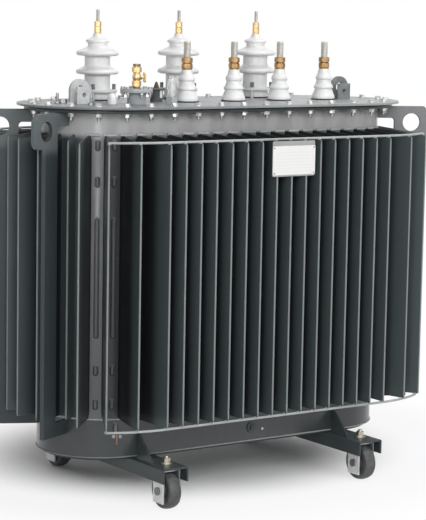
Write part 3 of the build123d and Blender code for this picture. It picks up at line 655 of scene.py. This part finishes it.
# Cooling fins; those at a face's ends show more of their sides, so their painted light reaches further in
# before the painted shade
for face_name, face in FACES:
    bank = Shape()
    inner_fins, inner_outs = along_face(FIN_X[1:-1], face, WALL)
    bank.scatter(fin(FIN_DEPTH), turns_to(inner_outs), inner_fins)
    outer_fins, outer_outs = round_corners(face, (0.0, *FAN_FINS))
    bank.scatter(fin(FIN_DEPTH, pale=32.0, fade=132.0), turns_to(outer_outs), outer_fins)
    piece(f"{face_name}_fin_bank", bank, fin_paint, stands_for=(f"{face_name}_fins",))
for end_name, end in ENDS:
    bank = Shape()
    for angle, depth in END_FINS:
        root, out = round_end(end, -1, angle)
        bank.scatter(fin(depth), turns_to(out), root)
    piece(f"{end_name}_end_fin_bank", bank, fin_paint, stands_for=(f"{end_name}_end_fins",))


def bead(half_length):
    """A pressed bead: half an ellipse over a capsule outline, standing out along +X.

    It closes along its spine. A flat rim lies round its foot and turns into the wall. The marks are one on
    the rim, except round the top end, and nought on the bead; they carry painted shade round the bead's foot.
    """
    half_width = 4.8
    rise = 4.0
    angle = full_turn(12) + np.pi / 12
    share = np.array((1.66, 1.65, 1.02, 0.98, 0.85, 0.6, 0.0))[:, None]
    lift = np.array((-0.6, 0.15, 0.15, 0.15, 0.15, 0.15, 0.15))[:, None]
    x = rise * np.sqrt(np.clip(1 - share ** 2, 0, 1)) + lift + 0 * angle
    y = share * half_width * np.cos(angle)
    z = share * half_width * np.sin(angle) + np.where(np.sin(angle) >= 0, half_length, -half_length)
    marks = np.array((0.9, 0.9, 1.0, 0.9, 0.0, 0.0, 0.0))[:, None] * (np.sin(angle) < 0.6)
    return np.stack((x, y, z), -1), grid_faces(len(share), len(angle), True), marks.reshape(-1)


# Pressed beads in the wall between the fins, and one on the skirt below the left corner
SHORT_BEAD = 8.0
LONG_BEAD = 155.0
beads = Shape()
for _, face in FACES:
    straight, straight_outs = along_face(VALLEY_X, face, WALL)
    fanned, fanned_outs = round_corners(face, FAN_VALLEYS)
    bead_places = np.concatenate((straight, fanned))
    bead_turns = turns_to(np.concatenate((straight_outs, fanned_outs)))
    for z in (962.0, 866.0, 362.0, 270.0):
        beads.scatter(bead(SHORT_BEAD), bead_turns, bead_places + z * UP)
    beads.scatter(bead(LONG_BEAD), bead_turns, bead_places + 610.0 * UP)
skirt_out = np.array((-0.308, -0.951, 0.0))
beads.scatter(bead(SHORT_BEAD), turns_to(skirt_out), skirt_out * WALL + (-END_X, 0.0, 205.0))
piece("wall_beads", beads, bead_paint, crease=60.0)

# Cover bolts with washers, and their nuts under the flange; each is turned on from the one before
FIRST_END_BOLT = 13.2
BOLT_PITCH = 75.1
BOLT_TURN = 0.731
BOLT_WIDTH = 15.0
WASHER_THICK = 2.4
NUT_HEIGHT = 8.0
bolt_angle = np.radians(np.linspace(FIRST_END_BOLT, 180.0 - FIRST_END_BOLT, 8))
bolt_x = (np.arange(10) - 4.5) * BOLT_PITCH
bolt_out = (END_X + BOLT_LINE * np.sin(bolt_angle), -BOLT_LINE * np.cos(bolt_angle))
bolt_rows = [(end * bolt_out[0], bolt_out[1]) for _, end in ENDS]
bolt_rows += [(bolt_x, np.full(len(bolt_x), face * BOLT_LINE)) for _, face in FACES]
bolt_places = np.concatenate([np.stack(row, -1) for row in bolt_rows])
bolt_turns = spun((np.arange(len(bolt_places)) * BOLT_TURN) % (np.pi / 3))
heads = spots(bolt_places, COVER_TOP)
under = spots(bolt_places, FLANGE_LOW - WASHER_THICK)
washer = drum(11.0, WASHER_THICK, 0.8, 24, 0.4)
bolts = Shape()
bolts.scatter(washer, bolt_turns, heads)
bolts.scatter(hex_head(BOLT_WIDTH, 6.5), bolt_turns, heads + WASHER_THICK * UP)
bolts.scatter(washer, bolt_turns, under)
bolts.scatter(hex_head(BOLT_WIDTH, NUT_HEIGHT), bolt_turns, under - NUT_HEIGHT * UP)
upside_down = bolt_turns * np.array((1.0, -1.0, -1.0))
bolts.scatter(thread(4.8, 9.0, 1.5, 0.6, 16), upside_down, under - (NUT_HEIGHT + 0.5) * UP)
piece("cover_bolts", bolts, zinc)

# Weld seams round the tank: at the skirt's foot, where the fins start, and under the flange
SEAMS = (
    ("skirt_weld", WALL + 0.5, SKIRT_LOW + 2.0, 2.2, cover_paint),
    ("fin_foot_weld", WALL + 0.5, FIN_LOW, 2.4, seam_paint),
    ("flange_weld", WALL + 1.5, FLANGE_LOW - 1.2, 2.6, wall_paint),
)
for name, radius, z, size, look in SEAMS:
    seam_path = stadium(radius, np.linspace(0, 4 * END_X + 2 * np.pi * radius, 1400), z)
    seam = Shape()
    seam.add(*tube(seam_path, size, 0.12, True))
    piece(name, seam, look, crease=70.0)

# Weld blobs where the tie rods lie on the fins' corners
half_turn = np.linspace(-np.pi / 2, np.pi / 2, 7)
blob = lathe(np.stack((5.0 * np.cos(half_turn), 4.2 * np.sin(half_turn)), -1), 14)
welds = Shape()
for _, face in FACES:
    straight, _ = along_face(FIN_X, face, ROD_LINE)
    fanned, fanned_outs = round_corners(face, FAN_FINS)
    weld_places = np.concatenate((straight, fanned + fanned_outs * (ROD_LINE - WALL)))
    for z in (FIN_LOW - 1.5, FIN_HIGH + 2.5):
        welds.stand(blob, weld_places + z * UP)
piece("rod_welds", welds, rod_paint, crease=70.0)

# Short welded strips that close the valleys between the fins at the collar's foot
fan_run = WALL * np.radians(FAN_VALLEYS)
valley_run = np.concatenate((VALLEY_X, END_X + fan_run, -END_X - fan_run))
half_round = 2 * END_X + np.pi * WALL
strips = Shape()
for middle in np.concatenate((valley_run, valley_run + half_round)):
    strip_run = (middle + np.linspace(-17.0, 17.0, 9)) % (2 * half_round)
    strips.add(*tube(stadium(WALL + 2.0, strip_run, FIN_HIGH + FIN_RISE), 4.0))
piece("valley_strips", strips, seam_paint, crease=70.0)

# High-voltage porcelain: base, two sheds with sloping tops, neck, cap
HV_PROFILE = (
    (0, 0, 0), (39, 0, 1.5), (39, 20, 2), (35.8, 20, 0.5), (35.5, 40, 3), (35.5, 67.5, 3), (52, 69, 3),
    (58, 71, 4), (59.5, 76, 4.5), (57, 81, 4), (47, 85, 6), (38, 89.5, 4), (35.5, 94, 4), (35.5, 118.5, 3),
    (52, 120, 3), (58, 122, 4), (59.5, 127, 4.5), (57, 132, 4), (44, 137, 7), (31, 142.5, 5), (26.5, 147, 3),
    (26.5, 153.5, 2), (29, 155.5, 1.5), (32.5, 157.5, 2.5), (32.5, 163, 2.5), (22, 167.5, 5), (13.5, 172, 3),
    (12, HV_RISE, 1.5), (0, HV_RISE, 0))
# Low-voltage porcelain: flared base, two stepped sheds, neck
LV_PROFILE = (
    (0, 0, 0), (33, 0, 1.5), (33, 8, 3), (29, 17, 6), (24.5, 29, 3), (27, 30, 1.5), (28.3, 32, 1.5),
    (28, 36, 3), (22.5, 44, 5), (20.5, 54, 2), (22, 55.5, 1.5), (23.3, 58, 2), (22.6, 65, 4), (17.5, 72, 5),
    (15.5, 84, 3), (15, LV_RISE, 1), (0, LV_RISE, 0))
for kind, profile, places, segments in (("hv", HV_PROFILE, HV_PLACES, 72), ("lv", LV_PROFILE, LV_PLACES, 64)):
    turned_body = lathe(rounded(profile), segments)
    for number, place in enumerate(spots(places, SEAT), start=1):
        body = Shape()
        body.stand(turned_body, place)
        hidden = f"{kind}_insulator_{number}"
        piece(f"{kind}_porcelain_{number}", body, porcelain, stands_for=(hidden,), crease=60.0)

# Terminals: a washer, two brass nuts and a plated stud on each bushing
TERMINALS = (
    ("hv", spots(HV_PLACES, SEAT + HV_RISE), 10.0, 17.0, (5.0, 34.0, 1.5, 0.6), brass),
    ("lv", spots(LV_PLACES, SEAT + LV_RISE), 14.5, 27.0, (10.0, 46.0, 2.5, 0.8), red_brass),
)
for kind, feet, washer_radius, nut_width, stud, look in TERMINALS:
    nuts = Shape()
    nuts.stand(drum(washer_radius, 3.0, 0.8, 32, 0.5), feet)
    nuts.stand(hex_head(nut_width, 15.0), feet + 3.0 * UP)
    nuts.stand(hex_head(nut_width, 15.0), feet + 18.5 * UP)
    piece(f"{kind}_nuts", nuts, look, stands_for=(f"{kind}_terminals",))
    studs = Shape()
    studs.stand(thread(*stud), feet + 32.0 * UP)
    piece(f"{kind}_studs", studs, tinned)

# Wheels turned about their axles
WHEEL_PROFILE = (
    (7.1, -17.5, 0), (17, -17.5, 1), (17, -11.5, 1.5), (37, -11.5, 2), (37, -17.5, 1), (46.5, -17.5, 3),
    (49.3, -9, 8), (WHEEL_RADIUS, 0, 8), (49.3, 9, 8), (46.5, 17.5, 3), (37, 17.5, 1), (37, 11.5, 2),
    (17, 11.5, 1.5), (17, 17.5, 1), (7.1, 17.5, 0), (7.1, -17.5, 0))
wheel_points, wheel_faces = lathe(rounded(WHEEL_PROFILE), 64)
wheel_part = (wheel_points[..., [2, 0, 1]], wheel_faces)
for face_name, face in FACES:
    for end_name, end in ENDS:
        tyre = Shape()
        tyre.stand(wheel_part, (end * WHEEL_X, face * WHEEL_Y, WHEEL_RADIUS))
        name = f"wheel_{face_name}_{end_name}"
        piece(f"{name}_tyre", tyre, tread, body=name, stands_for=(name,), crease=45.0)

# Kingpin bolts that hold the forks to the beams
KINGPIN_SHIFT = 16.0
KINGPIN_Y = 259.0
kingpin_places = [(end * WHEEL_X + KINGPIN_SHIFT, face * KINGPIN_Y) for _, end in ENDS for _, face in FACES]
kingpin_feet = spots(kingpin_places, BEAM_TOP)
kingpins = Shape()
kingpins.stand(drum(16.0, 3.0, 1.0, 32, 0.5), kingpin_feet)
kingpins.stand(drum(11.0, 2.6, 1.0, 32, 0.5), kingpin_feet + 3.0 * UP)
kingpins.stand(hex_head(19.0, 11.0), kingpin_feet + 5.6 * UP)
kingpins.stand(thread(6.0, 6.0, 1.75, 0.7, 16), kingpin_feet + 15.6 * UP)
piece("kingpins", kingpins, yellow_zinc)


def box_plate(low, high, round_by):
    """A flat plate with rounded edges: a rounded rectangle outline carried through the plate's thickness.

    The outline lies in X and Z, the thickness in Y; both faces close to the middle.
    """
    low = np.asarray(low, float)
    high = np.asarray(high, float)
    angle = full_turn(32) + np.pi / 32
    direction = np.stack((np.cos(angle), np.sin(angle)), -1)
    half = (high - low)[[0, 2]] / 2
    bend = min(4.0, half.min() * 0.9)
    outline = np.sign(direction) * (half - bend) + bend * direction
    thick = high[1] - low[1]
    ease = min(round_by, thick * 0.45)
    rim = 1 - ease / half.min()
    flat = 1 - 3 * ease / half.min()
    share = np.array((0.0, flat, rim, 1.0, 1.0, rim, flat, 0.0))[:, None]
    deep = np.array((0.0, 0.0, 0.0, ease, thick - ease, thick, thick, thick))[:, None]
    x = (high[0] + low[0]) / 2 + outline[:, 0] * share
    y = low[1] + deep + 0 * angle
    z = (high[2] + low[2]) / 2 + outline[:, 1] * share
    return np.stack((x, y, z), -1), grid_faces(len(share), len(angle), True)[:, ::-1]


def span(name):
    """Lowest and highest corner of a CAD node."""
    node = NODES[name]
    box = np.array([node.matrix_world @ Vector(corner) for corner in node.bound_box]) * 1000
    return box.min(0), box.max(0)


# Filler valve: two hexagon nuts on a turned barrel, with a side boss for the handle's stem
valve_low, valve_high = span("filler_valve")
valve_foot = np.array((*FILLER, valve_low[2]))
valve_rise = valve_high[2] - valve_low[2]
barrel_profile = rounded((
    (0, 0, 0), (8.5, 0, 0.5), (8.5, 22, 2), (11.5, 26, 2), (12, 31, 3), (10.5, 38, 3), (8.5, 42, 2),
    (8.5, valve_rise - 1, 1), (0, valve_rise - 1, 0)))
barrel = Shape()
barrel.stand(lathe(barrel_profile, 40), valve_foot)
barrel.stand(hex_head(22.0, 16.0), valve_foot + 5.5 * UP)
barrel.stand(hex_head(23.0, 15.0), valve_foot + 43.0 * UP)
barrel.aim(drum(6.5, 15.0), (1, 0, 0), valve_foot + 30.0 * UP)
piece("valve_barrel", barrel, brass, stands_for=("filler_valve",))
collars = Shape()
collars.stand(drum(9.5, 5.0), valve_foot)
collars.stand(drum(10.5, 6.5), valve_foot + (valve_rise - 6.5) * UP)
piece("valve_collars", collars, dark_brass)

# Bolts round the filler's flange
flange_top = span("filler_neck")[1][2]
flange_angle = np.radians(np.arange(6) * 60.0 + 20.0)
flange_ring = np.stack((np.cos(flange_angle), np.sin(flange_angle), 0 * flange_angle), -1) * 37.0
flange_ring += (*FILLER, flange_top)
flange_bolts = Shape()
flange_bolts.stand(hex_head(11.0, 5.0), flange_ring)
flange_bolts.stand(hex_head(11.0, 6.0), flange_ring - 16.0 * UP)
flange_bolts.stand(drum(3.2, 9.0, 0.4, 16), flange_ring - 24.0 * UP)
piece("filler_bolts", flange_bolts, steel)

# Oil gauge: a clear cap with nine ribs over a pale float tube
gauge_low, gauge_high = span("gauge_glass")
gauge_foot = np.array((*(gauge_low + gauge_high)[:2] / 2, gauge_low[2]))
gauge_rise = gauge_high[2] - gauge_low[2]
cap_angle = full_turn(84)
cap_share = np.array((0.0, 1.0, 1.0, 1.0, 1.0, 0.9, 0.0))[:, None]
cap_radius = cap_share * (10.2 + 1.6 * np.abs(np.cos(4.5 * cap_angle)))
cap_levels = np.array((0.0, 0.0, 1.0, gauge_rise * 0.5, gauge_rise - 3.0, gauge_rise, gauge_rise))[:, None]
cap_points = (cap_radius * np.cos(cap_angle), cap_radius * np.sin(cap_angle), cap_levels + 0 * cap_angle)
gauge_cap = Shape()
gauge_cap.stand((np.stack(cap_points, -1), grid_faces(len(cap_share), len(cap_angle), True)), gauge_foot)
piece("gauge_cap", gauge_cap, glass, stands_for=("gauge_glass",), crease=50.0)
gauge_float = Shape()
gauge_float.stand(drum(6.0, gauge_rise * 0.8), gauge_foot)
piece("gauge_float", gauge_float, porcelain)

# Small fittings on the cover's left: a white cap, two upright pins and a nut, and the tap changer's tag
white_cap = Shape()
white_profile = rounded(((0, 0, 0), (13, 0, 0.8), (13, 14, 6), (11, 26, 7), (0, 31, 0)))
white_cap.stand(lathe(white_profile, 40), (-373.0, -59.0, COVER_TOP))
piece("white_cap", white_cap, porcelain)
pin_places = spots(((-494.0, 25.0), (-447.0, -72.0)), COVER_TOP)
cover_pins = Shape()
cover_pins.stand(drum(3.8, 28.0, 0.8, 20), pin_places)
cover_pins.stand(hex_head(15.0, 5.0), pin_places)
cover_pins.stand(hex_head(19.0, 11.0), (-471.0, 33.0, COVER_TOP))
piece("cover_pins", cover_pins, steel)
tag = Shape()
tag.add(*box_plate((-181, 2.2, 1074), (-173, 3.8, 1096), 0.4))
piece("tap_tag", tag, porcelain)


def on_skirt(x, y, z):
    """Outward direction with those parts, and the point of the wall's left end that faces it, at a height."""
    out = np.array((x, y, 0.0)) / np.hypot(x, y)
    return out, np.array((-END_X, 0.0, z)) + out * WALL


# Earthing fitting on the skirt's left end: two bolts with a short strap between them
strap_out, strap_place = on_skirt(-0.29, -0.957, 181.0)
strap_turn = np.stack((np.cross(strap_out, UP), strap_out, UP), -1)
strap = Shape()
strap.scatter(box_plate((-2.5, -1.5, -22), (2.5, 3, 6), 0.6), strap_turn[None], strap_place)
piece("earth_strap", strap, dark_brass)
earth_bolts = Shape()
for bolt_out, bolt_place in (on_skirt(-0.337, -0.941, 182.0), on_skirt(-0.237, -0.971, 181.0)):
    earth_bolts.aim(drum(5.0, 2.0), bolt_out, bolt_place - bolt_out)
    earth_bolts.aim(hex_head(7.5, 4.5), bolt_out, bolt_place + bolt_out)
piece("earth_bolts", earth_bolts, steel)

# Plug and a small bright pin on the front of the skirt
FRONT = (0, -1, 0)
plug = Shape()
plug.aim(drum(15.0, 4.5, 1.2), FRONT, (23.0, 0.5 - WALL, 162.0))
plug.aim(hex_head(13.0, 6.0), FRONT, (23.0, -3.5 - WALL, 162.0))
piece("skirt_plug", plug, tank_paint)
skirt_pin = Shape()
skirt_pin.aim(drum(3.5, 3.0), FRONT, (61.0, 0.5 - WALL, 154.0))
piece("skirt_pin", skirt_pin, zinc)

# Bare rating plate with its rivets, on a strip that lies against the fins' noses under the top rod
PLATE_SIDES = (-44.0, 97.0)
PLATE_ENDS = (884.0, 962.0)
PLATE_FRONT = -344.0
RIVET_INSET = 5.0
sign = Shape()
plate_low = (PLATE_SIDES[0], PLATE_FRONT, PLATE_ENDS[0])
sign.add(*box_plate(plate_low, (PLATE_SIDES[1], PLATE_FRONT + 1.6, PLATE_ENDS[1]), 0.4))
piece("rating_plate", sign, plate)
strip = Shape()
strip_low = (PLATE_SIDES[0], PLATE_FRONT + 1.7, PLATE_ENDS[0] - 4.0)
strip.add(*box_plate(strip_low, (PLATE_SIDES[1], PLATE_FRONT + 4.4, FIN_HIGH), 0.5))
piece("rating_plate_strip", strip, strip_paint)
rivet_x = (PLATE_SIDES[0] + RIVET_INSET, PLATE_SIDES[1] - RIVET_INSET)
rivet_z = (PLATE_ENDS[0] + RIVET_INSET, PLATE_ENDS[1] - RIVET_INSET)
rivet_profile = rounded(((0, 0, 0), (2.4, 0, 0.2), (2.0, 1.2, 0.8), (0, 1.6, 0)))
rivets = Shape()
rivet_places = [(x, PLATE_FRONT + 0.2, z) for x in rivet_x for z in rivet_z]
rivets.aim(lathe(rivet_profile, 16), FRONT, rivet_places)
piece("plate_rivets", rivets, steel)


def dress(nodes, look, width=0.0):
    """Gives CAD nodes their material, and eased edges where a width is given."""
    for name in nodes:
        node = NODES[name]
        node.data.materials.clear()
        node.data.materials.append(look.material)
        if width:
            join = node.modifiers.new("join", "WELD")
            join.merge_threshold = 0.00001
            ease = node.modifiers.new("ease", "BEVEL")
            ease.width = width * 0.001
            ease.segments = 2
            ease.limit_method = "ANGLE"
            ease.angle_limit = np.radians(40)
            ease.harden_normals = False


corners = [f"{face_name}_{end_name}" for face_name, _ in FACES for end_name, _ in ENDS]
dress(("tank_body",), wall_paint)
dress(("bottom_plate", "top_flange", "left_beam", "right_beam"), tank_paint, 0.8)
dress(("cover",), cover_paint, 0.8)
dress([f"lifting_lug_{corner}" for corner in corners], lug_paint, 1.2)
dress(("front_fin_rods", "back_fin_rods"), rod_paint)
dress(("cover_gasket", "bushing_gaskets"), rubber)
dress([f"wheel_fork_{corner}" for corner in corners], galvanised, 0.6)
dress([f"axle_{corner}" for corner in corners], axle_steel, 0.6)
dress(("hv_clamps",), clamp_paint, 0.6)
dress(("filler_neck", "gauge_base"), grey_paint, 0.6)
dress(("tap_changer",), drive_paint, 0.6)
dress(("valve_handle",), brass, 0.4)
dress(("cover_eyes",), eye_paint, 0.8)

# Floor that keeps the shadow near the part and turns white, as the camera sees it, further out
floor_mesh = bpy.data.meshes.new("studio_floor")
floor_mesh.from_pydata([(-30, -30, 0), (30, -30, 0), (30, 30, 0), (-30, 30, 0)], [], [(0, 1, 2, 3)])
floor = bpy.data.objects.new("studio_floor", floor_mesh)
bpy.context.scene.collection.objects.link(floor)
WHITE = (1.0, 1.0, 1.0, 1.0)
ground = Look("pale_floor", Roughness=0.9, Specular_IOR_Level=0.1)
ground.give("Base Color", (0.9, 0.9, 0.9, 1.0))
far_x = (ground.axis("X") - 0.1) / 0.8
far_y = (ground.axis("Y") - 0.3) / 0.7
far = (far_x * far_x + far_y * far_y).math("SQRT")
whiter = (ground.step(far, 0.5, 0.95) * 0.85 + ground.step(far, 1.0, 1.5) * 0.15) * ground.seen()
glow = ground.node("ShaderNodeEmission", {}, {"Color": WHITE, "Strength": 1.0})
shaded = Value(ground, ground.shader.outputs[0])
blend = ground.node("ShaderNodeMixShader", {}, {0: whiter, 1: shaded, 2: glow})
ground.feed(ground.tree.nodes["Material Output"].inputs["Surface"], blend)
floor.data.materials.append(ground.material)

# World: white where it is seen, and a dim even light on the part
world = bpy.data.worlds.new("studio")
bpy.context.scene.world = world
world.use_nodes = True
sky = Nodes(world.node_tree)
sky.tree.nodes.clear()
dim = sky.node("ShaderNodeBackground", {}, {"Color": (0.8, 0.8, 0.8, 1.0), "Strength": 0.17})
bright = sky.node("ShaderNodeBackground", {}, {"Color": WHITE, "Strength": 1.0})
backdrop = sky.node("ShaderNodeMixShader", {}, {0: sky.seen(), 1: dim, 2: bright})
sky.feed(sky.tree.nodes.new("ShaderNodeOutputWorld").inputs["Surface"], backdrop)


def stand_at(made, right, top, back, place):
    """Links an object to the scene with its own X, Y and Z along three directions, at a place."""
    bpy.context.scene.collection.objects.link(made)
    made.matrix_world = Matrix([*np.column_stack((right, top, back, place)).tolist(), (0, 0, 0, 1)])


def lamp(name, place, aim, size, watts):
    """A rectangular soft box of that width and height in metres, turned towards a point."""
    data = bpy.data.lights.new(name, "AREA")
    data.shape = "RECTANGLE"
    data.size, data.size_y = size
    data.energy = watts
    back = np.array(place, float) - np.array(aim, float)
    back /= np.linalg.norm(back)
    side = np.cross(UP, back)
    side /= np.linalg.norm(side)
    stand_at(bpy.data.objects.new(name, data), side, np.cross(back, side), back, place)


lamp("front_box", (0.2, -4.5, 2.8), (0, 0, 0.7), (5.2, 1.8), 118.0)
lamp("top_box", (1.1, -0.7, 4.2), (0, 0, 0.6), (2.4, 2.0), 63.0)
lamp("left_box", (-3.1, -3.9, 2.4), (-0.2, 0, 0.7), (1.6, 1.6), 60.0)
lamp("back_box", (-0.3, 4.2, 3.6), (0, 0, 0.7), (4.4, 1.6), 20.0)
lamp("strip_box", (-3.46, -3.63, 0.85), (-0.46, -0.14, 0.85), (0.4, 1.3), 19.0)

# Camera worked out from the photograph's fins, rods and wheels; its focal length is in pixels of the picture
PICTURE_HEIGHT = 520.0
FOCAL_PIXELS = 2027.6
SENSOR = 36.0
yaw, pitch, roll = np.radians((34.567, -7.464, 1.016))
forward = np.array((np.sin(yaw) * np.cos(pitch), np.cos(yaw) * np.cos(pitch), np.sin(pitch)))
level = np.array((np.cos(yaw), -np.sin(yaw), 0.0))
rise = np.cross(level, forward)
right = np.cos(roll) * level + np.sin(roll) * rise
top = -np.sin(roll) * level + np.cos(roll) * rise
lens = bpy.data.cameras.new("camera")
lens.sensor_fit = "AUTO"
lens.sensor_width = SENSOR
lens.lens = FOCAL_PIXELS * SENSOR / PICTURE_HEIGHT
camera = bpy.data.objects.new("camera", lens)
stand_at(camera, right, top, -forward, (-3.22904, -4.69286, 1.36065))
bpy.context.scene.camera = camera
bpy.context.scene.view_settings.view_transform = "Standard"
